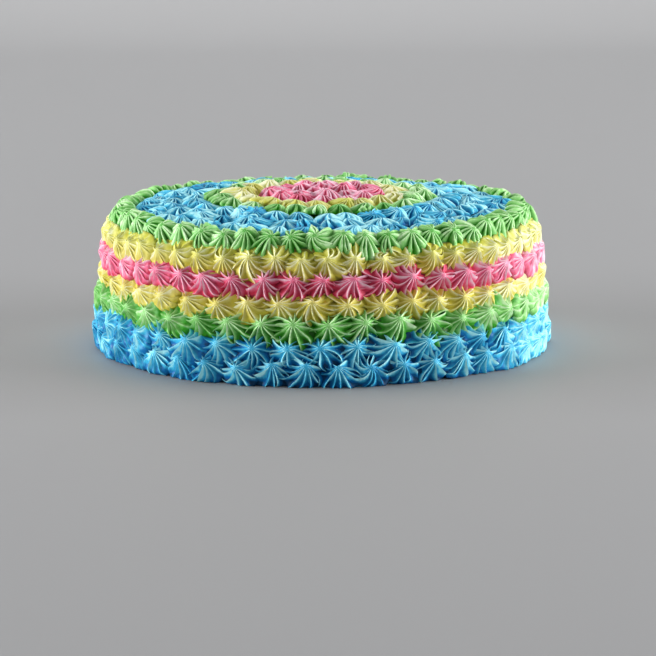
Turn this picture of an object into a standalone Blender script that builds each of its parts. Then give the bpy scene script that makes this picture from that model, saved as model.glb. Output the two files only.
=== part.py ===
"""A round, uncut cake covered all over with piped buttercream stars.

The cake itself is one turned solid, a little narrower at the top and slightly crowned.
Round it lie closed rows of icing, each one a solid ring in which every piped star is a
fan of ridges and valleys that runs up to a peak. The rows on the wall lap over the rows
below them like shingles. Metres, +Z up, origin at the centre of the base.
"""

import math
import random
from collections import namedtuple

import bmesh
import bpy

MM = 0.001

# The cake under the icing
BASE_RADIUS = 101.0 * MM
WALL_TAPER = 3.7 * MM / (60.0 * MM)  # inward step for each metre of height
SHOULDER_HEIGHT = 62.6 * MM  # where the crown meets the rounded edge
SHOULDER_ROUND = 5.5 * MM
CROWN_HEIGHT = 66.5 * MM
CAKE_STEPS = 48
CROWN_STEPS = 3
SHOULDER_STEPS = 3

# The icing
FOOT_CLEARANCE = 0.8 * MM  # from the back of a row to the cake
ROW_GAP = 0.5 * MM  # between one row and the next
# Height of a star's rim as a share of its peak's: in a valley, then where a ridge ends
RIM_SHARES = (0.30, 0.66)  # at the row's lower and upper edge
FLANK_SHARES = (0.20, 0.44)  # against the stars beside it, where the rim dips further
UNEVEN_SPACING = 0.09  # hand piping: largest shift of a star, in star widths
UNEVEN_HEIGHT = 0.07  # largest change of a peak's height, in shares of it
UNEVEN_LIFT = 0.7 * MM  # largest shift of a peak up or down its row

# Rows on the wall, from the base up: the number of stars and the turn of one of them from
# the front, the height at which the row's lower edge leaves the wall and how many degrees
# that edge hangs down over the row below, and the ring that the peaks lie on
WallRow = namedtuple(
    "WallRow", "name colour stars turn edge_height droop peak_radius peak_height"
)
WALL_ROWS = [
    WallRow("side_blue_low", "blue", 45, -4.0, 0.0, 0, 109.7, 10.3),
    WallRow("side_blue_high", "blue", 43, 0.3, 17.2, 35, 109.2, 18.9),
    WallRow("side_green", "green", 43, 2.3, 25.6, 35, 108.3, 28.9),
    WallRow("side_yellow_low", "yellow", 45, -2.0, 35.3, 35, 107.3, 37.5),
    WallRow("side_pink", "pink", 48, 0.6, 44.5, 35, 106.3, 48.4),
    WallRow("side_yellow_high", "yellow", 54, 1.9, 54.4, 30, 104.7, 57.2),
    WallRow("edge_green", "green", 56, -1.3, 60.8, 5, 98.8, 67.0),
]

# Rings on the crown, from the edge in
CrownRow = namedtuple("CrownRow", "name colour stars turn outer_radius peak_radius peak_height")
CROWN_ROWS = [
    CrownRow("top_blue_outer", "blue", 49, 1.0, 91.0, 84.2, 68.6),
    CrownRow("top_blue_middle", "blue", 42, 4.0, 77.4, 71.6, 70.0),
    CrownRow("top_blue_inner", "blue", 35, 2.0, 65.8, 60.0, 71.6),
    CrownRow("top_green", "green", 28, -1.5, 54.2, 48.3, 73.4),
    CrownRow("top_yellow", "yellow", 21, 0.0, 42.5, 37.0, 74.0),
    CrownRow("top_pink_outer", "pink", 13, 5.0, 31.5, 25.1, 74.6),
    CrownRow("top_pink_inner", "pink", 6, 12.0, 18.7, 12.6, 75.0),
]
CENTRE_NAME = "top_pink_centre"
CENTRE_RADIUS = 6.6 * MM
CENTRE_PEAK = 75.4 * MM
CENTRE_RIDGES = 7

# Steps along the sides of one star's tile. Going round its rim, valleys and ridges take
# turns, with a valley at every corner
LOW_STEPS = 4
HIGH_STEPS = 2
FLANK_STEPS = 4
FEWEST_BACK_STEPS = 24  # a ring of few stars needs a rounder back than one step a star

COLOURS = {
    "blue": (0.03, 0.30, 0.62),
    "green": (0.20, 0.55, 0.12),
    "yellow": (0.80, 0.68, 0.14),
    "pink": (0.78, 0.13, 0.32),
    "cream": (0.85, 0.78, 0.60),
}
ICING_ROUGHNESS = 0.45
CAKE_ROUGHNESS = 0.80


def clear_scene():
    for thing in list(bpy.data.objects):
        bpy.data.objects.remove(thing, do_unlink=True)


def new_collection(name):
    collection = bpy.data.collections.new(name)
    bpy.context.scene.collection.children.link(collection)
    return collection


def plain_material(name, roughness):
    material = bpy.data.materials.new(name)
    material.use_nodes = True
    shader = material.node_tree.nodes["Principled BSDF"]
    shader.inputs["Base Color"].default_value = (*COLOURS[name], 1.0)
    shader.inputs["Roughness"].default_value = roughness
    shader.inputs["Metallic"].default_value = 0.0
    return material


def add_object(name, mesh, material, collection):
    thing = bpy.data.objects.new(name, mesh)
    mesh.materials.append(material)
    collection.objects.link(thing)
    return thing


def wall_radius(height):
    return BASE_RADIUS - WALL_TAPER * height


def crown_radius():
    """Where the crown ends and the rounded shoulder starts."""
    return wall_radius(SHOULDER_HEIGHT) - SHOULDER_ROUND


def crown_height(radius):
    fall = CROWN_HEIGHT - SHOULDER_HEIGHT
    return CROWN_HEIGHT - fall * (radius / crown_radius()) ** 2


def cake_profile():
    """Radius and height down the cake's outline, from the crown's centre to the base."""
    points = []
    for step in range(CROWN_STEPS):
        radius = crown_radius() * step / CROWN_STEPS
        points.append((radius, crown_height(radius)))
    round_height = SHOULDER_HEIGHT - SHOULDER_ROUND
    for step in range(SHOULDER_STEPS + 1):
        angle = math.pi / 2 * (1 - step / SHOULDER_STEPS)
        across = crown_radius() + SHOULDER_ROUND * math.cos(angle)
        points.append((across, round_height + SHOULDER_ROUND * math.sin(angle)))
    return points + [(BASE_RADIUS, 0.0), (0.0, 0.0)]


def make_cake(collection):
    """The sponge with its base coat: the profile turned once round the axis."""
    bm = bmesh.new()
    corners = [bm.verts.new((radius, 0.0, height)) for radius, height in cake_profile()]
    for upper, lower in zip(corners, corners[1:]):
        bm.edges.new((upper, lower))
    mesh = bpy.data.meshes.new("cake_body")
    bm.to_mesh(mesh)
    bm.free()
    cake = add_object("cake_body", mesh, plain_material("cream", CAKE_ROUGHNESS), collection)
    turn = cake.modifiers.new("Turn", "SCREW")
    turn.axis = "Z"
    turn.steps = turn.render_steps = CAKE_STEPS
    turn.use_merge_vertices = True
    turn.merge_threshold = 0.00005
    return cake


class Edge:
    """The line, in radius and height, along which a row of icing meets its neighbour.

    It starts at a foot just off the cake and runs outwards. Both rows stop half a gap
    short of it, one on each side.
    """

    def __init__(self, foot, direction, towards_next):
        self.foot = foot
        self.direction = direction
        self.towards_next = towards_next

    def point(self, out, side):
        shift = side * ROW_GAP / 2
        return tuple(
            foot + direction * out + step * shift
            for foot, direction, step in zip(self.foot, self.direction, self.towards_next)
        )


def wall_edge(height, droop_degrees):
    droop = math.radians(droop_degrees)
    foot = (wall_radius(height) + FOOT_CLEARANCE, height)
    resting = height == 0.0
    return Edge(foot, (math.cos(droop), -math.sin(droop)), (0.0, 0.0 if resting else 1.0))


def crown_edge(radius):
    return Edge((radius, crown_height(radius) + FOOT_CLEARANCE), (0.0, 1.0), (-1.0, 0.0))


def polar(radius, height, turn):
    return (radius * math.sin(turn), -radius * math.cos(turn), height)


def make_row(row, low, high):
    """One closed ring of icing between two edges, with a fan of ridges for each star."""
    rng = random.Random(row.name)
    bm = bmesh.new()
    stars = row.stars
    width = math.tau / stars
    start = math.radians(row.turn) / width - 0.5
    joints = [start + n + UNEVEN_SPACING * rng.uniform(-1, 1) for n in range(stars)]
    joints.append(joints[0] + stars)
    foot_radius, foot_height = ((a + b) / 2 for a, b in zip(low.foot, high.foot))
    reach_out = row.peak_radius * MM - foot_radius
    reach_up = row.peak_height * MM - foot_height
    height_of_peak = math.hypot(reach_out, reach_up)
    along_wall = abs(low.direction[0])  # 1 where the row faces sideways, 0 on the crown

    def vertex(turn, across, out):
        inner = low.point(out, 1)
        outer = high.point(out, -1)
        radius, height = (a + (b - a) * across for a, b in zip(inner, outer))
        return bm.verts.new(polar(radius, height, turn * width))

    def rim_out(index):
        return height_of_peak * RIM_SHARES[index % 2]

    def flank_out(index):
        return height_of_peak * FLANK_SHARES[index % 2]

    def between(n, steps, across, outs):
        """The vertices of one tile's edge that lie between its two joints."""
        span = joints[n + 1] - joints[n]
        return [vertex(joints[n] + span * k / steps, across, outs(k)) for k in range(1, steps)]

    flanks = []
    feet = []
    for turn in joints[:-1]:
        steps = range(FLANK_STEPS + 1)
        flanks.append([vertex(turn, k / FLANK_STEPS, flank_out(k)) for k in steps])
        feet.append((vertex(turn, 0, 0), vertex(turn, 1, 0)))
    back_steps = max(1, math.ceil(FEWEST_BACK_STEPS / stars))

    for n in range(stars):
        left, right = flanks[n], flanks[(n + 1) % stars]
        (left_low, left_high), (right_low, right_high) = feet[n], feet[(n + 1) % stars]
        low_rim = between(n, LOW_STEPS, 0, rim_out)
        high_rim = between(n, HIGH_STEPS, 1, rim_out)
        low_foot = between(n, back_steps, 0, lambda k: 0)
        high_foot = between(n, back_steps, 1, lambda k: 0)

        reach = 1 + UNEVEN_HEIGHT * rng.uniform(-1, 1)
        lift = UNEVEN_LIFT * rng.uniform(-1, 1)
        middle = (joints[n] + joints[n + 1]) / 2
        radius = foot_radius + reach_out * reach + lift * (1 - along_wall)
        height = foot_height + reach_up * reach + lift * along_wall
        peak = bm.verts.new(polar(radius, height, middle * width))

        rim = [left[0], *low_rim, *right, *reversed(high_rim), *reversed(left[1:])]
        for a, b in zip(rim, rim[1:] + rim[:1]):
            bm.faces.new((a, b, peak))
        bm.faces.new([left_low, *low_foot, right_low, right[0], *reversed(low_rim), left[0]])
        bm.faces.new([left_high, *high_foot, right_high, right[-1], *reversed(high_rim), left[-1]])
        bm.faces.new([left_low, *low_foot, right_low, right_high, *reversed(high_foot), left_high])

    return closed_mesh(row.name, bm)


def make_centre(name):
    """The single star in the middle: a short round stub whose top is drawn to a peak."""
    bm = bmesh.new()
    base = crown_height(0.0) + FOOT_CLEARANCE
    rise = CENTRE_PEAK - base
    bmesh.ops.create_cone(
        bm,
        cap_ends=True,
        segments=2 * CENTRE_RIDGES,
        radius1=CENTRE_RADIUS - ROW_GAP,
        radius2=CENTRE_RADIUS - ROW_GAP,
        depth=rise * RIM_SHARES[0],
    )
    bmesh.ops.translate(bm, verts=bm.verts, vec=(0.0, 0.0, base + rise * RIM_SHARES[0] / 2))
    top = max(bm.faces, key=lambda face: face.calc_center_median().z)
    for index, loop in enumerate(top.loops):
        if index % 2:
            loop.vert.co.z = base + rise * RIM_SHARES[1]
    peak = bmesh.ops.poke(bm, faces=[top])["verts"][0]
    peak.co.z = CENTRE_PEAK
    return closed_mesh(name, bm)


def closed_mesh(name, bm):
    bmesh.ops.recalc_face_normals(bm, faces=bm.faces)
    bmesh.ops.triangulate(bm, faces=bm.faces)
    mesh = bpy.data.meshes.new(name)
    bm.to_mesh(mesh)
    bm.free()
    return mesh


def make_icing(collection):
    icing = {
        colour: plain_material(colour, ICING_ROUGHNESS)
        for colour in ("blue", "green", "yellow", "pink")
    }
    edges = [wall_edge(row.edge_height * MM, row.droop) for row in WALL_ROWS]
    edges += [crown_edge(row.outer_radius * MM) for row in CROWN_ROWS]
    edges.append(crown_edge(CENTRE_RADIUS))
    for row, low, high in zip(WALL_ROWS + CROWN_ROWS, edges, edges[1:]):
        add_object(row.name, make_row(row, low, high), icing[row.colour], collection)
    add_object(CENTRE_NAME, make_centre(CENTRE_NAME), icing["pink"], collection)


def main():
    clear_scene()
    collection = new_collection("star_piped_cake")
    make_cake(collection)
    make_icing(collection)


main()
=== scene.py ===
"""Looks for a round, uncut cake covered all over with piped buttercream stars.

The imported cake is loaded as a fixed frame. Every row of icing in it is replaced by a mesh of
piped stars that stand in the same places, and the plain cake under them by one with a rough
base coat. The file is laid out as an add-on and is run as a script. Lengths are in metres,
+Z is up and the photographed side faces -Y.
"""

import math
import random
from collections import namedtuple

import bpy
import numpy as np
from bpy.props import FloatProperty, FloatVectorProperty, IntProperty, PointerProperty
from mathutils import Matrix, Vector


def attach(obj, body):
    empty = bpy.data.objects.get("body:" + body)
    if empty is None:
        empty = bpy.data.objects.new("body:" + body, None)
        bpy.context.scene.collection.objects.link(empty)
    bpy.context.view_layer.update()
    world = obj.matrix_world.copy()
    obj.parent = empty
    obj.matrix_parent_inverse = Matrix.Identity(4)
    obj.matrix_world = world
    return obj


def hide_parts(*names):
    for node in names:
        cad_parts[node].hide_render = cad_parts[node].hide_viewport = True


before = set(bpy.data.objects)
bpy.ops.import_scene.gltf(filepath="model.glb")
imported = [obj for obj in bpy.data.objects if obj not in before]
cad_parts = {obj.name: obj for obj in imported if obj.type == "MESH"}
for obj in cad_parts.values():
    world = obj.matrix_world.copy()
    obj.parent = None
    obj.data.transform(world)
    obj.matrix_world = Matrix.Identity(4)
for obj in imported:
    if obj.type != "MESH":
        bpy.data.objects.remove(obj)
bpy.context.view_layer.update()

bl_info = {
    "name": "Star Piped Cake",
    "version": (1, 0, 0),
    "blender": (4, 5, 0),
    "location": "3D View > Sidebar > Cake",
    "description": "Pipes rows of buttercream stars over a round cake",
    "category": "Object",
}

MM = 0.001
BODY = "root"

# The cake under the icing
BASE_RADIUS = 101.0 * MM
WALL_TAPER = 3.7 / 60.0  # inward step for each metre of height
SHOULDER_HEIGHT = 62.6 * MM  # where the crown meets the rounded edge
SHOULDER_ROUND = 5.5 * MM
CROWN_HEIGHT = 66.5 * MM
BASE_BEVEL = 0.8 * MM
CROWN_STEPS = 8
SHOULDER_STEPS = 6
CAKE_STEPS = 128  # round the cake
MERGE_WITHIN = 0.05 * MM  # its points on the axis, all of them in one place

# How the rows of stars lie on it
FOOT_CLEARANCE = 0.8 * MM  # from the cake to the line where two rows meet
FLOOR_GAP = 0.15 * MM  # from the floor to the lowest icing
UNEVEN_SPACING = 0.09  # largest shift of a star along its row, in star widths
UNEVEN_HEIGHT = 0.07  # largest change of a peak's height, in shares of it
UNEVEN_LIFT = 0.7 * MM  # largest shift of a peak up or down its row

# A row of stars: its icing, how many stars it has and the turn of one of them from the front.
# Border: on the wall the height of the row's lower edge, on the crown the radius of its outer
# one. Droop: how far that edge hangs down, or 90 on the crown. Peak radius and height: the ring
# that the peaks lie on. Tilt: of a star's axis above level. Across, above and below: how far a
# star reaches from its peak to each side, up the cake and down it, and relief: its height, all
# four as shares of the room that it has along the row. Hook: how far its ridges' ends bend up
# the cake. Piped: how it is piped. Lengths in millimetres and angles in degrees
Row = namedtuple(
    "Row",
    "name slot stars turn border droop peak_radius peak_height tilt "
    "across above below relief hook piped",
)
BLUE, GREEN, YELLOW, PINK = "blue_icing", "green_icing", "yellow_icing", "pink_icing"
WALL_ROWS = [
    Row("side_blue_low", BLUE, 45, -4.0, 0.0, 0, 109.7, 10.3, 8, 1.1, 0.60, 1.28, 0.52, 0.0, "fins"),
    Row("side_blue_high", BLUE, 43, 0.3, 17.2, 35, 109.2, 18.9, 10, 1.1, 0.72, 1.16, 0.48, 0.02, "fins"),
    Row("side_green", GREEN, 43, 2.3, 25.6, 35, 108.3, 28.9, 10, 1.1, 0.74, 1.08, 0.47, 0.1, "fins"),
    Row("side_yellow_low", YELLOW, 45, -2.0, 35.3, 35, 107.3, 37.5, 10, 1.1, 0.66, 1.1, 0.47, 0.06, "points"),
    Row("side_pink", PINK, 48, 0.6, 44.5, 35, 106.3, 48.4, 10, 1.1, 0.64, 1.2, 0.50, 0.03, "blades"),
    Row("side_yellow_high", YELLOW, 54, 1.9, 54.4, 30, 104.7, 57.2, 10, 1.1, 0.66, 1.4, 0.52, 0.03, "points"),
    Row("edge_green", GREEN, 56, -1.3, 60.8, 5, 98.0, 67.0, 46, 1.28, 1.08, 1.5, 0.98, 0.0, "pleats"),
]
CROWN_ROWS = [
    Row("top_blue_outer", BLUE, 49, 1.0, 91.0, 90, 84.2, 68.6, 80, 1.2, 1.28, 1.58, 0.64, 0.0, "kisses"),
    Row("top_blue_middle", BLUE, 42, 4.0, 77.4, 90, 71.6, 70.0, 87, 1.2, 1.28, 1.28, 0.62, 0.0, "kisses"),
    Row("top_blue_inner", BLUE, 35, 2.0, 65.8, 90, 60.0, 71.6, 87, 1.2, 1.28, 1.28, 0.62, 0.0, "kisses"),
    Row("top_green", GREEN, 28, -1.5, 54.2, 90, 48.3, 73.4, 88, 1.2, 1.24, 1.24, 0.62, 0.0, "kisses"),
    Row("top_yellow", YELLOW, 21, 0.0, 42.5, 90, 37.0, 74.0, 88, 1.18, 1.22, 1.22, 0.62, 0.0, "kisses"),
    Row("top_pink_outer", PINK, 13, 5.0, 31.5, 90, 25.1, 74.6, 89, 1.16, 1.2, 1.2, 0.68, 0.0, "swirls"),
    Row("top_pink_inner", PINK, 6, 12.0, 18.7, 90, 12.6, 75.0, 89, 1.16, 1.2, 1.2, 0.68, 0.0, "swirls"),
]
CENTRE_RADIUS = 6.6 * MM
CENTRE_ROW = Row(
    "top_pink_centre", PINK, 1, 0.0, 6.6, 90, 0.0, 75.4, 90, 1.2, 1.2, 1.2, 0.86, 0.0, "swirls"
)

# The places of a ridge's points over its width, in widths from its crest
RIDGE = (-0.5, -0.23, -0.09, 0.0, 0.09, 0.23)
BLADE = (-0.5, -0.30, -0.12, 0.0, 0.12, 0.30)
PLEAT = (-0.5, -0.37, -0.16, 0.10, 0.35)

# A star's outline: its reach and height from the peak down to its end in the bed, as shares of
# its radius and height
LOW_DOME = [
    (0.05, 1.00), (0.12, 0.97), (0.21, 0.93), (0.32, 0.87), (0.45, 0.79), (0.58, 0.69),
    (0.71, 0.56), (0.83, 0.39), (0.93, 0.16), (1.02, -0.24), (1.14, -0.66), (1.0, -1.40),
]
SMALL_DOME = [
    (0.05, 1.00), (0.12, 0.96), (0.21, 0.90), (0.31, 0.82), (0.42, 0.73), (0.54, 0.61),
    (0.67, 0.45), (0.79, 0.25), (0.90, -0.02), (1.00, -0.34), (1.14, -0.66), (1.0, -1.40),
]
HIGH_DOME = [
    (0.05, 1.00), (0.16, 0.99), (0.31, 0.96), (0.46, 0.91), (0.60, 0.83), (0.73, 0.71),
    (0.84, 0.56), (0.93, 0.37), (0.98, 0.16), (1.0, -0.06), (0.97, -0.28), (0.83, -0.70),
]
LOW_KISS = [
    (0.06, 1.00), (0.18, 0.99), (0.32, 0.96), (0.46, 0.90), (0.59, 0.81), (0.71, 0.69),
    (0.81, 0.54), (0.90, 0.36), (0.96, 0.16), (1.00, -0.04), (1.01, -0.30), (0.96, -0.65),
]
OPEN_SWIRL = [
    (0.03, 0.66), (0.10, 0.78), (0.17, 0.95), (0.26, 1.00), (0.40, 0.90), (0.53, 0.77),
    (0.66, 0.62), (0.78, 0.46), (0.88, 0.28), (0.96, 0.10), (1.03, -0.12), (1.0, -0.55),
]

# How a star is piped. Across: one of the three lists of places above. Outline: one of the five
# above. Keen: whether its crests are sharp edges. Sharp: above 1 its ridges are blades between
# hollow grooves, below 1 broad pleats between narrow ones. Smooth: the reach at which the
# grooves start. Groove: how deep they are, as a share of the height over VALLEY_FLOOR. Inset:
# how far they cut into the outline, as a share of the reach. Unequal: how much lower its
# weakest ridge may be. Flare: how far the ridges' ends stand out, in radii. Square: how far
# it fills the corners between its neighbours. Wander: how far its ridges leave their places,
# in shares of the shifts below. Twist, lean and stray: the spread of its twist in radians, of
# its lean in radii and of its axis in degrees. Pale: how much paler it is than others, and
# fade: the spread of that. Foot: how much painted shade deepens the colour between its
# ridges' ends
Piped = namedtuple(
    "Piped",
    "across outline keen sharp smooth groove inset unequal flare square "
    "wander twist lean stray pale fade foot",
)
WALL_STAR = Piped(
    across=BLADE, outline=LOW_DOME, keen=True, sharp=1.8, smooth=0.10, groove=0.85, inset=0.0,
    unequal=0.45, flare=0.06, square=0.08, wander=1.0, twist=0.25, lean=0.08, stray=5.0,
    pale=0.0, fade=0.04, foot=0.6,
)
CROWN_STAR = Piped(
    across=PLEAT, outline=LOW_KISS, keen=False, sharp=0.85, smooth=0.10, groove=0.90, inset=0.20,
    unequal=0.25, flare=0.10, square=0.10, wander=1.5, twist=0.6, lean=0.25, stray=17.0,
    pale=-0.27, fade=0.12, foot=0.2,
)
PIPED = {
    "fins": WALL_STAR._replace(across=RIDGE, sharp=2.0, groove=0.95, foot=1.1),
    "blades": WALL_STAR,
    "points": WALL_STAR._replace(outline=SMALL_DOME, sharp=1.6, groove=0.75, fade=0.05, foot=0.5),
    "pleats": CROWN_STAR._replace(
        outline=HIGH_DOME, sharp=0.5, smooth=0.20, groove=0.80, unequal=0.15, flare=0.03,
        square=0.12, wander=1.3, twist=0.4, lean=0.14, stray=8.0, pale=-0.36, fade=0.05, foot=0.3,
    ),
    "kisses": CROWN_STAR,
    "swirls": CROWN_STAR._replace(
        outline=OPEN_SWIRL, sharp=0.9, smooth=0.12, inset=0.22, twist=1.0, pale=-0.26
    ),
}

# How the ridges run down a star, at places given by its reach
BLADES_FROM = 0.6  # where the ridges have their full sharpness
PALE_FROM = 0.16  # and where their crests have their full pale colour, a painted highlight
# How fast the pale colour, a painted highlight, fades beside a crest: on all ridges, and more with their
# sharpness
PALE_NARROW, PALE_NARROWER = 0.6, 0.5
GROOVES_OPEN = 0.65  # from where the grooves start to where they are fully open
VALLEY_FLOOR = -0.65  # height that the grooves run out at, in star heights
FOOT_SHADE = (0.42, 0.78)  # rings over which painted shade deepens the colour between them, 1 is the last
PEAK_SHADE, END_SHADE = 0.5, 0.0  # of the two points that close a star
STREAKS_APART = 7.0  # from one star to the next, so that their streaks differ

# Unevenness within a star: the largest shifts of a ridge's start, end and tip in ridge widths,
# the largest change of its length and the spread of the pull on all of them in radii, how oval
# the star is, and the largest change of its width or height
START_SHIFT, END_SHIFT, TIP_SHIFT = 0.30, 0.40, 0.45
LENGTH_CHANGE = 0.06
PULL = 0.10
OVAL = 0.04
STRETCH = 0.08
FARTHEST_STRAY = 1.3  # largest tip or swing of its axis, in shares of its spread
# Unevenness between the crown's stars
CROWN_SIZES = 0.14  # largest change of their size
CROWN_SHIFT, FARTHEST_SHIFT = 0.8 * MM, 1.3 * MM  # spread and limit of their shift

# To the sides and at the back the lower parts of the wall's stars have run into each other
STAND_OUT_TURN = 8.0  # turn from the front at which they stand out most, in degrees
SMOOTH_FROM, SMOOTH_TO = 20.0, 60.0  # turns from there over which they grow smooth
RUN_TOGETHER = 0.8
MORE_TO_THE_RIGHT = 0.3  # how much more at the far right
FLATTER = 0.3  # how much flatter they are where they have run together
PAINTED_SIDE_SHEEN = 0.11  # and how much painted sheen pales their colour: none on the left, double on the right
LOWER_PART = (0.45, 0.90)  # the reach over which a star's lower part starts
FILLED, FILLED_LOWER = 0.30, 0.50  # how far its grooves are filled, and the more lower down
BLURRED, BLURRED_LOWER = 0.25, 0.30  # the same for the difference between its painted shade and highlight
BLURRED_SHADE = 0.45  # and the shade that all of them come nearer to

# The bed of icing that the stars of a row have run into
BED_STEPS = 180
BED_ACROSS = 5
BED_BACK = 2.0 * MM  # how far it reaches into the cake
BED_LUMPS = 0.3 * MM
WALL_BED_SINK, CROWN_BED_SINK = 1.1, 0.5  # below the stars' widest part, in star heights
THINNEST_BED = 0.3 * MM
THIN_AT_FLOOR = 0.1  # thickness of the lowest bed where it meets the floor
SMOOTH_BED_SHADE = 0.4  # where the stars have run together
BED_STREAKS = 100  # how close together its streaks are

# Shades over which an icing's colours change: about 1 on a ridge, 0 in a groove, less in a gap.
# The groove and gap colours are painted shade, and the pale ridge colour is a painted highlight
GAP_TO_GROOVE = (-1.1, -0.45)
GROOVE_TO_BODY = (-0.35, 0.45)
BODY_TO_RIDGE = (0.28, 0.72)
GAP_SHADE_SHARE = 0.3  # how bright the painted shade in a gap is beside a groove
PAINTED_SHADE_DOWN = 0.45  # how much painted shade darkens a groove on the way down a star
# Its noises: their scale, how far they move the shade, and what they add to its brightness,
# its roughness and its bump
STREAKS_SCALE, STREAKS_SHADE = 6.0, 0.5
MOTTLE_SCALE, MOTTLE_SHADE = 70.0, 0.3
PATCHES_SCALE, PATCHES_SHADE = 260.0, 0.7
GRAIN_SCALE = 1400.0
DARKEST_TONE, MOTTLE_TONE = 0.86, 0.28
SMOOTHEST, STREAKS_ROUGH, GRAIN_ROUGH = 0.34, 0.14, 0.1
STREAKS_BUMP, GRAIN_BUMP, ICING_BUMP = 0.6, 0.4, 0.12 * MM
# The yellow icing's grooves and body are tinted more and more pink down from the first height to the second
PINK_TINT_HEIGHTS = (61 * MM, 51 * MM)
PINK_TINT = (1.0, 0.88, 0.80)
# The sponge's crumb shows through the base coat where that is smeared thin
CRUMB, THIN_COAT = (0.62, 0.46, 0.24), (0.9, 0.84, 0.66)
CRUMB_SCALE, SMEAR_SCALE = 420.0, 45.0
CRUMB_COVERED = (0.5, 0.9)
CRUMB_BUMP = 0.5 * MM

# The studio
FLOOR_WIDTH = 7.0
FLOOR_FRONT = -2.5
FLOOR_BACK = 1.7  # where the floor starts to curve up
SWEEP_RADIUS = 0.8
SWEEP_STEPS = 16
WALL_TOP = 2.5
NEAR_GREYS = (0.295, 0.295, 0.30), (0.31, 0.31, 0.315)
# Greys of the floor near the cake, and the paler grey further back, which is painted light
FAR_PAINTED_GREY = (0.52, 0.52, 0.525)
FLOOR_PAINTED_LIGHT = (0.1, 2.3)  # painted light: it grows paler between these distances behind the cake's axis
CLOUD_SCALE = 1.5
CAKE_MIDDLE = (0.0, 0.0, 0.03)
FILL_COLOUR = (0.9, 0.95, 1.0)
# Each softbox's place, its width and height, and the point that it is aimed at
SOFTBOXES = {
    "left": ((-1.62, -0.12, 0.37), (1.5, 0.68), CAKE_MIDDLE),
    "right": ((1.62, -0.12, 0.37), (1.5, 0.68), CAKE_MIDDLE),
    "front": ((0.0, -2.0, 1.2), (1.2, 0.8), CAKE_MIDDLE),
    "top": ((0.0, 0.45, 1.4), (1.6, 1.0), CAKE_MIDDLE),
    "backdrop": ((0.0, 2.0, 1.6), (3.6, 0.8), (0.0, 2.0, 0.0)),
}

# The camera that took the photograph, in the cake's frame
PHOTO_SIDE = 656
FOCAL_PIXELS = 2500
CAMERA_PLACE = (3.1 * MM, -1184.0 * MM, 235.3 * MM)
CAMERA_PITCH = -10.94  # degrees
CAMERA_ROLL = -0.13


def wall_radius(height):
    return BASE_RADIUS - WALL_TAPER * height


def crown_radius():
    """Where the crown ends and the rounded shoulder starts."""
    return wall_radius(SHOULDER_HEIGHT) - SHOULDER_ROUND


def crown_height(radius):
    fall = CROWN_HEIGHT - SHOULDER_HEIGHT
    return CROWN_HEIGHT - fall * (radius / crown_radius()) ** 2


def wall_foot(height):
    return np.array([wall_radius(height) + FOOT_CLEARANCE, height])


def crown_foot(radius):
    return np.array([radius, crown_height(radius) + FOOT_CLEARANCE])


def row_borders():
    """Where the borders between the rows meet the cake, as radius and height, from the base up."""
    feet = [wall_foot(row.border * MM) for row in WALL_ROWS]
    feet += [crown_foot(row.border * MM) for row in CROWN_ROWS]
    return feet + [crown_foot(CENTRE_RADIUS)]


def on_crown(row):
    return row not in WALL_ROWS


def star_room(row):
    """Half of the way from one peak of a row to the next."""
    return math.pi * row.peak_radius * MM / row.stars if row.peak_radius else CENTRE_RADIUS


def place_stars(row, low_foot, high_foot):
    """Each star's turn about the cake's axis, and the radius and height of its peak.

    The draws come in the same order as in the solids, so the stars stand where theirs do.
    """
    rng = random.Random(row.name)
    width = math.tau / row.stars
    start = math.radians(row.turn) / width - 0.5
    joints = [start + n + UNEVEN_SPACING * rng.uniform(-1, 1) for n in range(row.stars)]
    joints.append(joints[0] + row.stars)
    foot = (low_foot + high_foot) / 2
    reach = np.array([row.peak_radius, row.peak_height]) * MM - foot
    along_wall = math.cos(math.radians(row.droop))
    slide = np.array([1 - along_wall, along_wall])
    for left, right in zip(joints, joints[1:]):
        length = 1 + UNEVEN_HEIGHT * rng.uniform(-1, 1)
        lift = UNEVEN_LIFT * rng.uniform(-1, 1)
        yield (left + right) / 2 * width, foot + reach * length + slide * lift


def ease(value, low, high):
    """0 below low, 1 above high and smooth between them."""
    share = np.clip((value - low) / (high - low), 0, 1)
    return share * share * (3 - 2 * share)


def calm_at(row, turn):
    """How far a row's stars have run together at a turn from the front, from 0 for not at all."""
    aside = np.degrees(turn) - STAND_OUT_TURN
    aside = np.abs((aside + 180) % 360 - 180)
    more = 1 + MORE_TO_THE_RIGHT * np.maximum(np.sin(turn), 0)
    return PIPED[row.piped].keen * RUN_TOGETHER * more * ease(aside, SMOOTH_FROM, SMOOTH_TO)


# What makes one star differ from an even one: five values for each ridge, then the whole star's
Draws = namedtuple("Draws", "start end tip weakness length pull turn twist oval lean")


def draw_star(rng, piped, teeth):
    return Draws(
        start=rng.uniform(-START_SHIFT, START_SHIFT, teeth),
        end=rng.uniform(-END_SHIFT, END_SHIFT, teeth),
        tip=rng.uniform(-TIP_SHIFT, TIP_SHIFT, teeth),
        weakness=rng.uniform(0, piped.unequal, teeth),
        length=rng.uniform(-LENGTH_CHANGE, LENGTH_CHANGE, teeth),
        pull=rng.normal(0, PULL, 2),
        turn=rng.uniform(0, math.tau),
        twist=rng.normal(0, piped.twist),
        oval=rng.uniform(0, math.tau),
        lean=rng.normal(0, piped.lean, 2),
    )


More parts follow.
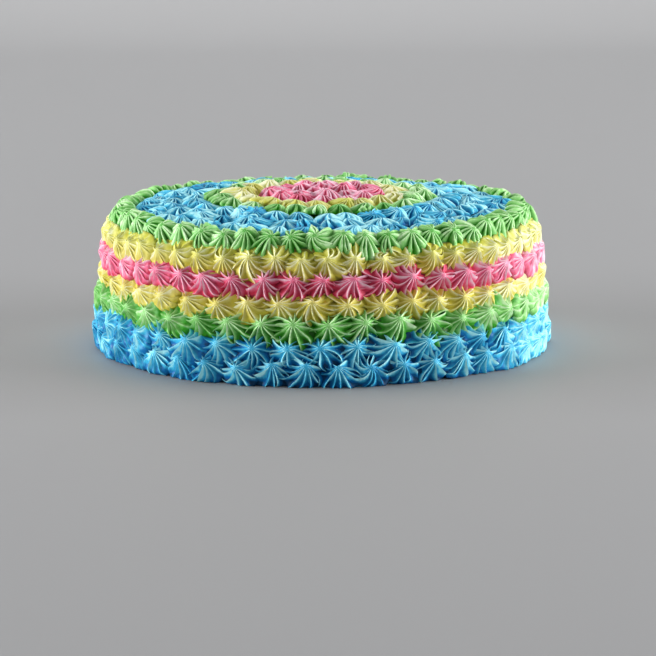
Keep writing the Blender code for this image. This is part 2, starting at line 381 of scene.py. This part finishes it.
def star_form(rng, piping, row, radius, size, height, calm):
    """A star about its own axis: x to its right, y up the cake and z out to the peak.

    Returns the rings of points from the peak down and, for each point, how near a crest it is,
    less the painted shade at the star's foot, and its place along and round the star.
    """
    piped = PIPED[row.piped]
    teeth, uneven = piping.teeth, piping.unevenness
    draws = draw_star(rng, piped, teeth)
    ridge = np.repeat(np.arange(teeth), len(piped.across))
    share = np.tile(piped.across, teeth)
    nearness = 1 - 2 * np.abs(share)
    nearness = nearness / nearness.max()
    reach, rise = np.array(piped.outline).T[:, :, None]
    down = np.arange(len(reach))[:, None] / (len(reach) - 1)

    # How deep each point lies in a groove, and how near a crest its colour is, which sets its painted shade
    # and highlight
    strength = 1 - uneven * draws.weakness[ridge]
    sharp = 1 + (piped.sharp * piping.sharpness - 1) * np.minimum(reach / BLADES_FROM, 1)
    narrow = PALE_NARROW + PALE_NARROWER * piped.sharp
    crest = nearness**narrow * np.minimum(reach / PALE_FROM, 1)
    lower_part = ease(reach, *LOWER_PART)
    merged = calm * (FILLED + FILLED_LOWER * lower_part)
    opened = ease(reach, piped.smooth, piped.smooth + GROOVES_OPEN) * (1 - merged)
    depth = piping.grooves * opened * (1 - strength * nearness**sharp)
    crest = crest + calm * (BLURRED + BLURRED_LOWER * lower_part) * (BLURRED_SHADE - crest)

    # The way that the ridges take from the peak down
    wander = uneven * piped.wander * nearness
    start, end, tip = (wander * shift[ridge] for shift in (draws.start, draws.end, draws.tip))
    angle = draws.turn + math.tau * (ridge + share + start) / teeth
    angle = angle + uneven * draws.twist * reach + math.tau / teeth * (end * reach**2 + tip * reach**6)

    stand_out = (piped.flare + uneven * draws.length[ridge]) * crest * reach**4
    rise = height * (rise - piped.groove * depth * np.maximum(rise - VALLEY_FLOOR, 0))
    reach = (reach + stand_out) * (1 - piped.inset * depth)
    reach = reach * (1 + uneven * OVAL * np.sin(2 * angle + draws.oval))
    reach = reach * (1 + piped.square * np.minimum(reach, 1) ** 2 * np.sin(2 * angle) ** 2)

    # Uneven pulls and leans, the hook of the ridges' ends and the sag of the whole star
    pull = uneven * draws.pull
    lean = uneven * draws.lean[:, None, None] * (np.maximum(rise, 0) / height) ** 2
    hook = row.hook * crest * reach**3 * np.abs(np.cos(angle))
    drag = crest * reach**3
    fallen = 1 - np.clip(rise / height, 0, 1)
    half, sag = (row.above + row.below) / 2, (row.below - row.above) / 2
    sideways = row.across * size[0] * (reach * np.cos(angle) + pull[0] * drag) + lean[0]
    upward = half * size[1] * (reach * np.sin(angle) + pull[1] * drag + hook) + lean[1] - sag * fallen
    points = np.stack([radius * sideways, radius * upward, rise], axis=-1)

    # Painted shade between the ridges' ends, weaker where the stars have run together
    painted_foot_shade = piped.foot * ease(down, *FOOT_SHADE) * (1 - merged)
    crests = crest * strength - painted_foot_shade * (1 - crest)
    downs = np.broadcast_to(down, angle.shape)
    flow = np.stack([np.cos(angle), np.sin(angle), downs], axis=-1)
    return points, crests, downs, flow


def grid_faces(rings, around):
    """Quads between closed rings of points, and fans to two end points that come after them."""
    index = np.arange(rings * around).reshape(rings, around)
    after = np.roll(index, -1, axis=1)
    quads = np.stack([index[:-1], index[1:], after[1:], after[:-1]], axis=-1).reshape(-1, 4)
    first, last = rings * around, rings * around + 1
    top = np.stack([np.full(around, first), index[0], after[0]], axis=-1)
    end = np.stack([np.full(around, last), after[-1], index[-1]], axis=-1)
    return quads, np.concatenate([top, end])


def axes_at(turn, tilt):
    """A star's right, up and outward directions, where it stands on the cake."""
    outward = np.array([math.sin(turn), -math.cos(turn), 0.0])
    right = np.array([math.cos(turn), math.sin(turn), 0.0])
    above = np.array([0.0, 0.0, 1.0])
    axis = math.cos(tilt) * outward + math.sin(tilt) * above
    up = -math.sin(tilt) * outward + math.cos(tilt) * above
    return np.array([right, up, axis])


def add_object(name, data):
    new = bpy.data.objects.new(name, data)
    bpy.context.scene.collection.objects.link(new)
    return new


# Some points of a mesh and, for each, whether it lies on a sharp crest, how near a crest it is,
# how far down its star, and its place in the streaks of the icing
Patch = namedtuple("Patch", "points keen crest down flow")


class Icing:
    """Collects the stars and the bed of one row, and makes one mesh of them."""

    def __init__(self):
        self.patches = []
        self.faces = []
        self.count = 0

    def add(self, patch, faces):
        self.patches.append(patch)
        for group in faces:
            self.faces += (group + self.count).tolist()
        self.count += len(patch.points)

    def make(self, name, material, node):
        whole = Patch(*(np.concatenate(values) for values in zip(*self.patches)))
        mesh = bpy.data.meshes.new(name)
        mesh.from_pydata(whole.points.tolist(), [], self.faces)
        for value in ("crest", "down"):
            numbers = getattr(whole, value).astype(np.float32)
            mesh.attributes.new(value, "FLOAT", "POINT").data.foreach_set("value", numbers)
        flow = whole.flow.astype(np.float32).ravel()
        mesh.attributes.new("flow", "FLOAT_VECTOR", "POINT").data.foreach_set("vector", flow)
        mesh.shade_smooth()
        ends = np.empty(2 * len(mesh.edges), dtype=np.int32)
        mesh.edges.foreach_get("vertices", ends)
        keen = whole.keen[ends].reshape(-1, 2).all(axis=1)
        mesh.attributes.new("sharp_edge", "BOOLEAN", "EDGE").data.foreach_set("value", keen)
        mesh.materials.append(material)
        piece = add_object(name, mesh)
        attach(piece, BODY)
        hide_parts(node)
        return piece


def pipe_star(icing, rng, piping, row, number, turn, peak):
    piped, uneven = PIPED[row.piped], piping.unevenness
    room = star_room(row)
    calm = calm_at(row, turn)
    height = row.relief * room * (1 - FLATTER * calm)
    size = 1 + uneven * rng.uniform(-STRETCH, STRETCH, 2)
    if on_crown(row):
        size = size + uneven * rng.uniform(-CROWN_SIZES, CROWN_SIZES)
    points, crests, downs, flow = star_form(rng, piping, row, room, size, height, calm)
    # Painted sheen pales the run-together stars: none on the left, most on the right
    painted_sheen = PAINTED_SIDE_SHEEN * calm * (1 + math.sin(turn))
    crests = crests + piped.pale + painted_sheen + piped.fade * uneven * rng.normal()
    rings, around = crests.shape
    keen = np.zeros((rings, around), dtype=bool)
    if piped.keen:
        keen[2:, piped.across.index(0.0) :: len(piped.across)] = True

    if on_crown(row):
        shift = np.clip(rng.normal(0, CROWN_SHIFT, 2), -FARTHEST_SHIFT, FARTHEST_SHIFT) * uneven
        peak = peak + np.array([shift[0], 0.0])
        turn += shift[1] / max(peak[0], room)
    stray = math.radians(piped.stray * uneven)
    tip, swing = stray * np.clip(rng.normal(0, 1, 2), -FARTHEST_STRAY, FARTHEST_STRAY)
    axes = axes_at(turn, math.radians(row.tilt) + tip)
    axes = axes @ np.array(Matrix.Rotation(swing, 3, (0, 0, 1)))
    outward = axes_at(turn, 0.0)[2]
    top = outward * peak[0] + np.array([0.0, 0.0, peak[1]])

    # The middles of the first and the last ring close the star
    middles = [points[0].mean(axis=0), points[-1].mean(axis=0)]
    points = np.concatenate([points.reshape(-1, 3), middles])
    flow = np.concatenate([flow.reshape(-1, 3), [(0, 0, 0), (0, 0, 1)]])
    placed = top + (points - [0, 0, height]) @ axes
    placed[:, 2] = np.maximum(placed[:, 2], FLOOR_GAP)
    patch = Patch(
        points=placed,
        keen=np.append(keen, [False, False]),
        crest=np.concatenate([crests.ravel(), [PEAK_SHADE, END_SHADE]]),
        down=np.concatenate([downs.ravel(), [0.0, 1.0]]),
        flow=flow + np.array([0.0, 0.0, STREAKS_APART * number]),
    )
    icing.add(patch, grid_faces(rings, around))


def spread_bed(icing, rng, row, low_foot, high_foot):
    """The icing that the stars of a row have run into, as a closed ring against the cake."""
    along = high_foot - low_foot
    peak = np.array([row.peak_radius, row.peak_height]) * MM
    sink = CROWN_BED_SINK if on_crown(row) else WALL_BED_SINK
    below_peaks = (1 + sink) * row.relief * star_room(row)
    thickness = max(math.dist(peak, (low_foot + high_foot) / 2) - below_peaks, THINNEST_BED)
    out = np.array([along[1], -along[0]]) / np.hypot(*along)
    section = [low_foot - out * BED_BACK, high_foot - out * BED_BACK]
    for share in np.linspace(1, 0, BED_ACROSS):
        on_floor = low_foot[1] <= FOOT_CLEARANCE and share == 0
        section.append(low_foot + along * share + out * thickness * (THIN_AT_FLOOR if on_floor else 1))
    section = np.array(section)

    turns = np.arange(BED_STEPS) * math.tau / BED_STEPS
    calm = calm_at(row, turns)
    lumps = rng.normal(0, BED_LUMPS, (BED_STEPS, len(section)))
    lumps = lumps + (FLATTER * below_peaks * calm)[:, None]
    lumps[:, :2] = 0
    x = (section[:, 0] + lumps * out[0]) * np.sin(turns)[:, None]
    y = -(section[:, 0] + lumps * out[0]) * np.cos(turns)[:, None]
    z = np.maximum(section[:, 1] + lumps * out[1], FLOOR_GAP)
    points = np.stack([x, y, z], axis=-1).reshape(-1, 3)
    index = np.arange(len(points)).reshape(BED_STEPS, len(section))
    next_turn, next_point = np.roll(index, -1, axis=0), np.roll(index, -1, axis=1)
    both = np.roll(next_turn, -1, axis=1)
    quads = np.stack([index, next_turn, both, next_point], axis=-1).reshape(-1, 4)
    # The bed's colour: painted shade between the stars, which fades where they have run together
    crests = SMOOTH_BED_SHADE * calm - PIPED[row.piped].foot * (1 - calm)
    patch = Patch(
        points=points,
        keen=np.zeros(len(points), dtype=bool),
        crest=np.repeat(crests, len(section)),
        down=np.ones(len(points)),
        flow=points * BED_STREAKS,
    )
    icing.add(patch, [quads])


def pipe_row(context, row, low_foot, high_foot):
    piping = context.scene.cake_piping
    rng = np.random.default_rng(list(row.name.encode()))
    icing = Icing()
    for number, (turn, peak) in enumerate(place_stars(row, low_foot, high_foot)):
        pipe_star(icing, rng, piping, row, number, turn, peak)
    if row is not CENTRE_ROW:
        spread_bed(icing, rng, row, low_foot, high_foot)
    finish = icing_finish(row.slot, context.scene.cake_colours)
    piece = icing.make("piped_" + row.name, finish, row.name)
    return piece


class Value:
    """A socket of a finish. Arithmetic on it adds Math nodes, so shader maths reads plainly."""

    def __init__(self, finish, socket):
        self.finish = finish
        self.socket = socket

    def __add__(self, other):
        return self.finish.math("ADD", self, other)

    __radd__ = __add__

    def __sub__(self, other):
        return self.finish.math("SUBTRACT", self, other)

    def __rsub__(self, other):
        return self.finish.math("SUBTRACT", other, self)

    def __mul__(self, other):
        return self.finish.math("MULTIPLY", self, other)

    __rmul__ = __mul__


class Finish:
    """A material's node tree, with its Principled shader's constant sockets set first."""

    def __init__(self, name, constants):
        self.material = bpy.data.materials.new(name)
        self.material.use_nodes = True
        self.tree = self.material.node_tree
        self.shader = self.tree.nodes["Principled BSDF"]
        for socket, value in constants.items():
            self.shader.inputs[socket].default_value = value

    def feed(self, socket, value):
        if isinstance(value, Value):
            self.tree.links.new(value.socket, socket)
        else:
            socket.default_value = value

    @staticmethod
    def pick(sockets, key):
        """The socket at a place in the list, or the one with this identifier."""
        if isinstance(key, int):
            return sockets[key]
        return next(socket for socket in sockets if socket.identifier == key)

    def node(self, kind, settings=None, inputs=None, output=0):
        node = self.tree.nodes.new(kind)
        for setting, value in (settings or {}).items():
            setattr(node, setting, value)
        for socket, value in (inputs or {}).items():
            self.feed(self.pick(node.inputs, socket), value)
        return Value(self, self.pick(node.outputs, output))

    def math(self, operation, *terms):
        return self.node("ShaderNodeMath", {"operation": operation}, dict(enumerate(terms)))

    def mix(self, factor, first, second, blend="MIX"):
        settings = {"data_type": "RGBA", "blend_type": blend}
        inputs = {"Factor_Float": factor, "A_Color": first, "B_Color": second}
        return self.node("ShaderNodeMix", settings, inputs, "Result_Color")

    def noise(self, place, scale, detail=3.0):
        inputs = {"Vector": place, "Scale": scale, "Detail": detail}
        return self.node("ShaderNodeTexNoise", inputs=inputs)

    def ease(self, value, low, high):
        """0 below low, 1 above high and smooth between them."""
        inputs = {"Value": value, "From Min": low, "From Max": high}
        return self.node("ShaderNodeMapRange", {"interpolation_type": "SMOOTHSTEP"}, inputs)

    def place(self):
        return self.node("ShaderNodeTexCoord", output="Object")

    def along(self, place, axis):
        return self.node("ShaderNodeSeparateXYZ", inputs={"Vector": place}, output=axis)

    def attribute(self, name, output="Fac"):
        return self.node("ShaderNodeAttribute", {"attribute_name": name}, output=output)

    def bump(self, height, depth):
        inputs = {"Height": height, "Distance": depth, "Strength": 1.0}
        return self.node("ShaderNodeBump", inputs=inputs)

    def surface(self, **sockets):
        for name, value in sockets.items():
            self.feed(self.shader.inputs[name.replace("_", " ").title()], value)


def solid(colour):
    return (*colour, 1.0)


def icing_finish(slot, colours):
    """Soft satin buttercream, slightly mottled: painted shade deep in the grooves, a painted highlight pale
    on the ridges.
    """
    name = slot.split("_")[0]
    found = bpy.data.materials.get(name + "_buttercream")
    if found:
        return found
    parts = ("groove", "body", "ridge")
    groove, body, ridge = (getattr(colours, f"{name}_{part}") for part in parts)
    constants = {
        "Subsurface Weight": 0.04,
        "Subsurface Scale": 0.0008,
        "Subsurface Radius": (1.0, 0.8, 0.6),
        "Specular IOR Level": 0.22,
    }
    finish = Finish(name + "_buttercream", constants)
    crest, down = finish.attribute("crest"), finish.attribute("down")
    place = finish.place()
    mottle = finish.noise(place, MOTTLE_SCALE)
    patches = finish.noise(place, PATCHES_SCALE, detail=2.0)
    grain = finish.noise(place, GRAIN_SCALE, detail=2.0)
    streaks = finish.noise(finish.attribute("flow", "Vector"), STREAKS_SCALE, detail=4.0)

    # Painted shade and highlight: from the gaps' painted shade through the grooves to the ridges' pale
    # painted highlight
    shade = crest + PAINTED_SHADE_DOWN * down * (crest - 1)
    shade = shade + STREAKS_SHADE * (streaks - 0.5) + MOTTLE_SHADE * (mottle - 0.5)
    shade = shade + PATCHES_SHADE * (patches - 0.5)
    # Painted shade in the gaps between the stars, darker than the grooves
    painted_gap_shade = solid([GAP_SHADE_SHARE * part for part in groove])
    lower = finish.mix(finish.ease(shade, *GAP_TO_GROOVE), painted_gap_shade, solid(groove))
    lower = finish.mix(finish.ease(shade, *GROOVE_TO_BODY), lower, solid(body))
    if slot == YELLOW:
        pinker = finish.ease(finish.along(place, "Z"), *PINK_TINT_HEIGHTS)
        lower = finish.mix(pinker, lower, solid(PINK_TINT), "MULTIPLY")
    colour = finish.mix(finish.ease(shade, *BODY_TO_RIDGE), lower, solid(ridge))
    tone = DARKEST_TONE + MOTTLE_TONE * mottle
    colour = finish.mix(1.0, colour, tone, "MULTIPLY")
    rough = SMOOTHEST + STREAKS_ROUGH * streaks + GRAIN_ROUGH * grain
    normal = finish.bump(STREAKS_BUMP * streaks + GRAIN_BUMP * grain, ICING_BUMP)
    finish.surface(base_color=colour, roughness=rough, normal=normal)
    return finish.material


def sponge_finish():
    """Pale base coat, a little rough, with the sponge's crumb showing through it."""
    finish = Finish("thin_base_coat", {"Subsurface Weight": 0.1, "Subsurface Scale": 0.002})
    place = finish.place()
    crumb = finish.noise(place, CRUMB_SCALE, detail=5.0)
    smear = finish.noise(place, SMEAR_SCALE, detail=2.0)
    covered = finish.ease(crumb + 0.4 * smear, *CRUMB_COVERED)
    colour = finish.mix(covered, solid(CRUMB), solid(THIN_COAT))
    normal = finish.bump(crumb, CRUMB_BUMP)
    finish.surface(base_color=colour, roughness=0.62 + 0.25 * crumb, normal=normal)
    return finish.material


def floor_finish():
    """Plain pale studio floor with a barely visible unevenness, and painted light that makes it paler further
    back.
    """
    finish = Finish("studio_floor", {"Specular IOR Level": 0.3})
    place = finish.place()
    cloud = finish.noise(place, CLOUD_SCALE, detail=2.0)
    far = finish.ease(finish.along(place, "Y"), *FLOOR_PAINTED_LIGHT)
    near_grey = finish.mix(cloud, *(solid(grey) for grey in NEAR_GREYS))
    colour = finish.mix(far, near_grey, solid(FAR_PAINTED_GREY))
    finish.surface(base_color=colour, roughness=0.55 + 0.1 * cloud)
    return finish.material


def cake_outline():
    """Radius and height down the cake's outline, from the crown's centre to the base."""
    crown = np.linspace(0, crown_radius(), CROWN_STEPS + 1)[:-1]
    points = [(radius, crown_height(radius)) for radius in crown]
    for angle in np.radians(np.linspace(90, 0, SHOULDER_STEPS + 1)):
        across = crown_radius() + SHOULDER_ROUND * math.cos(angle)
        points.append((across, SHOULDER_HEIGHT - SHOULDER_ROUND * (1 - math.sin(angle))))
    return points + [(BASE_RADIUS, BASE_BEVEL), (BASE_RADIUS - BASE_BEVEL, 0.0), (0.0, 0.0)]


def make_core():
    mesh = bpy.data.meshes.new("coated_sponge")
    outline = cake_outline()
    edges = [(n, n + 1) for n in range(len(outline) - 1)]
    mesh.from_pydata([(radius, 0.0, height) for radius, height in outline], edges, [])
    mesh.materials.append(sponge_finish())
    core = add_object("coated_sponge", mesh)
    turn = core.modifiers.new("Turn", "SCREW")
    turn.axis = "Z"
    turn.steps = turn.render_steps = CAKE_STEPS
    turn.use_merge_vertices = True
    turn.merge_threshold = MERGE_WITHIN
    turn.use_smooth_shade = True
    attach(core, BODY)
    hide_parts("cake_body")
    return core


def make_floor():
    outline = [(FLOOR_FRONT, 0.0), (FLOOR_BACK, 0.0)]
    for angle in np.linspace(0, math.pi / 2, SWEEP_STEPS)[1:]:
        back = FLOOR_BACK + SWEEP_RADIUS * math.sin(angle)
        outline.append((back, SWEEP_RADIUS * (1 - math.cos(angle))))
    outline.append((FLOOR_BACK + SWEEP_RADIUS, WALL_TOP))
    half = FLOOR_WIDTH / 2
    points = [(side, y, z) for y, z in outline for side in (-half, half)]
    faces = [(n, n + 1, n + 3, n + 2) for n in range(0, len(points) - 2, 2)]
    mesh = bpy.data.meshes.new("studio_floor")
    mesh.from_pydata(points, [], faces)
    mesh.shade_smooth()
    mesh.materials.append(floor_finish())
    floor = add_object("studio_floor", mesh)


def make_softbox(name, place, size, target, power):
    light = bpy.data.lights.new(name, "AREA")
    light.shape = "RECTANGLE"
    light.size, light.size_y = size
    light.energy = power
    box = add_object(name, light)
    aim = Vector(target) - Vector(place)
    box.location = place
    box.rotation_euler = aim.to_track_quat("-Z", "Y").to_euler()
    box.visible_camera = False


def make_lights(studio):
    for name, (place, size, target) in SOFTBOXES.items():
        make_softbox("softbox_" + name, place, size, target, getattr(studio, name + "_power"))
    world = bpy.data.worlds.new("studio_light")
    world.use_nodes = True
    background = world.node_tree.nodes["Background"]
    background.inputs["Color"].default_value = solid(FILL_COLOUR)
    background.inputs["Strength"].default_value = studio.fill
    bpy.context.scene.world = world
    bpy.context.scene.view_settings.view_transform = "Standard"


def make_camera():
    data = bpy.data.cameras.new("camera")
    data.sensor_width = 36.0
    data.lens = FOCAL_PIXELS / PHOTO_SIDE * data.sensor_width
    camera = add_object("camera", data)
    tilt = Matrix.Rotation(math.radians(90 + CAMERA_PITCH), 4, "X")
    roll = Matrix.Rotation(math.radians(CAMERA_ROLL), 4, "Z")
    camera.matrix_world = Matrix.Translation(CAMERA_PLACE) @ tilt @ roll
    bpy.context.scene.camera = camera


def colour(name, default):
    """A colour that the user can change, as linear red, green and blue."""
    return FloatVectorProperty(
        name=name,
        description=f"{name} colour of the buttercream",
        subtype="COLOR",
        size=3,
        min=0.0,
        max=1.0,
        default=default,
    )


def power(light, watts):
    """A softbox's power, which the user can change."""
    return FloatProperty(
        name=light + " Light",
        description=f"Power of the {light.lower()} softbox in watts",
        default=watts,
        min=0,
        unit="POWER",
    )


class CakePiping(bpy.types.PropertyGroup):
    """How the nozzle shapes a star, and how unevenly the stars are piped."""

    teeth: IntProperty(
        name="Nozzle Teeth", description="Ridges on each star", default=12, min=5, max=16
    )
    grooves: FloatProperty(
        name="Groove Depth",
        description="1 is as deep as the nozzle's teeth cut",
        default=1.0,
        min=0,
        max=2,
        subtype="FACTOR",
    )
    sharpness: FloatProperty(
        name="Ridge Sharpness",
        description="1 is as sharp as this nozzle's ridges",
        default=1.0,
        min=0.3,
        max=3,
        subtype="FACTOR",
    )
    unevenness: FloatProperty(
        name="Unevenness",
        description="1 is as uneven as piped by hand",
        default=1.0,
        min=0,
        max=3,
        subtype="FACTOR",
    )


class CakeColours(bpy.types.PropertyGroup):
    """Colours of the four icings: painted shade in the grooves, their own colour on the body of a star and a
    painted highlight on its ridges.
    """

    blue_groove: colour("Blue Groove", (0.0, 0.13, 0.36))
    blue_body: colour("Blue Body", (0.05, 0.47, 0.70))
    blue_ridge: colour("Blue Ridge", (0.42, 0.87, 0.93))
    green_groove: colour("Green Groove", (0.03, 0.27, 0.01))
    green_body: colour("Green Body", (0.27, 0.60, 0.19))
    green_ridge: colour("Green Ridge", (0.63, 0.88, 0.52))
    yellow_groove: colour("Yellow Groove", (0.48, 0.47, 0.05))
    yellow_body: colour("Yellow Body", (0.66, 0.67, 0.20))
    yellow_ridge: colour("Yellow Ridge", (0.82, 0.83, 0.54))
    pink_groove: colour("Pink Groove", (0.54, 0.03, 0.08))
    pink_body: colour("Pink Body", (0.76, 0.18, 0.31))
    pink_ridge: colour("Pink Ridge", (0.84, 0.56, 0.66))


class CakeStudio(bpy.types.PropertyGroup):
    """Strength of the studio's lights."""

    left_power: power("Left", 45.0)
    right_power: power("Right", 47.0)
    front_power: power("Front", 9.0)
    top_power: power("Top", 8.4)
    backdrop_power: power("Backdrop", 16.0)
    fill: FloatProperty(
        name="Fill", description="Strength of the even fill light", default=0.09, min=0
    )


class CAKE_OT_coat_sponge(bpy.types.Operator):
    """Make the cake under the icing, with its base coat"""

    bl_idname = "cake.coat_sponge"
    bl_label = "Coat the Sponge"

    def execute(self, context):
        make_core()
        return {"FINISHED"}


class CAKE_OT_pipe_wall(bpy.types.Operator):
    """Pipe the rows of stars on the wall and round the upper edge"""

    bl_idname = "cake.pipe_wall"
    bl_label = "Pipe the Wall"

    def execute(self, context):
        borders = row_borders()
        for row, low, high in zip(WALL_ROWS, borders, borders[1:]):
            pipe_row(context, row, low, high)
        return {"FINISHED"}


class CAKE_OT_pipe_crown(bpy.types.Operator):
    """Pipe the rings of stars on the top"""

    bl_idname = "cake.pipe_crown"
    bl_label = "Pipe the Crown"

    def execute(self, context):
        borders = row_borders()[len(WALL_ROWS) :]
        for row, low, high in zip(CROWN_ROWS, borders, borders[1:]):
            pipe_row(context, row, low, high)
        middle = crown_foot(0.0)
        pipe_row(context, CENTRE_ROW, middle, middle)
        return {"FINISHED"}


class CAKE_OT_set_stage(bpy.types.Operator):
    """Set up the floor, the lights and the camera"""

    bl_idname = "cake.set_stage"
    bl_label = "Set the Stage"

    def execute(self, context):
        make_floor()
        make_lights(context.scene.cake_studio)
        make_camera()
        return {"FINISHED"}


class CAKE_PT_panel(bpy.types.Panel):
    """Lists the cake's settings and steps"""

    bl_label = "Star Piped Cake"
    bl_space_type = "VIEW_3D"
    bl_region_type = "UI"
    bl_category = "Cake"

    def draw(self, context):
        layout, scene = self.layout, context.scene
        for group in (scene.cake_piping, scene.cake_colours, scene.cake_studio):
            for name in group.bl_rna.properties.keys():
                if name not in ("rna_type", "name"):
                    layout.prop(group, name)
        for step in STEPS:
            layout.operator(step.bl_idname)


STEPS = (CAKE_OT_coat_sponge, CAKE_OT_pipe_wall, CAKE_OT_pipe_crown, CAKE_OT_set_stage)
CLASSES = (CakePiping, CakeColours, CakeStudio, *STEPS, CAKE_PT_panel)


def register():
    for cls in CLASSES:
        bpy.utils.register_class(cls)
    bpy.types.Scene.cake_piping = PointerProperty(type=CakePiping)
    bpy.types.Scene.cake_colours = PointerProperty(type=CakeColours)
    bpy.types.Scene.cake_studio = PointerProperty(type=CakeStudio)


def unregister():
    del bpy.types.Scene.cake_studio
    del bpy.types.Scene.cake_colours
    del bpy.types.Scene.cake_piping
    for cls in reversed(CLASSES):
        bpy.utils.unregister_class(cls)


def main():
    register()
    bpy.ops.cake.coat_sponge()
    bpy.ops.cake.pipe_wall()
    bpy.ops.cake.pipe_crown()
    bpy.ops.cake.set_stage()


if __name__ == "__main__":
    main()
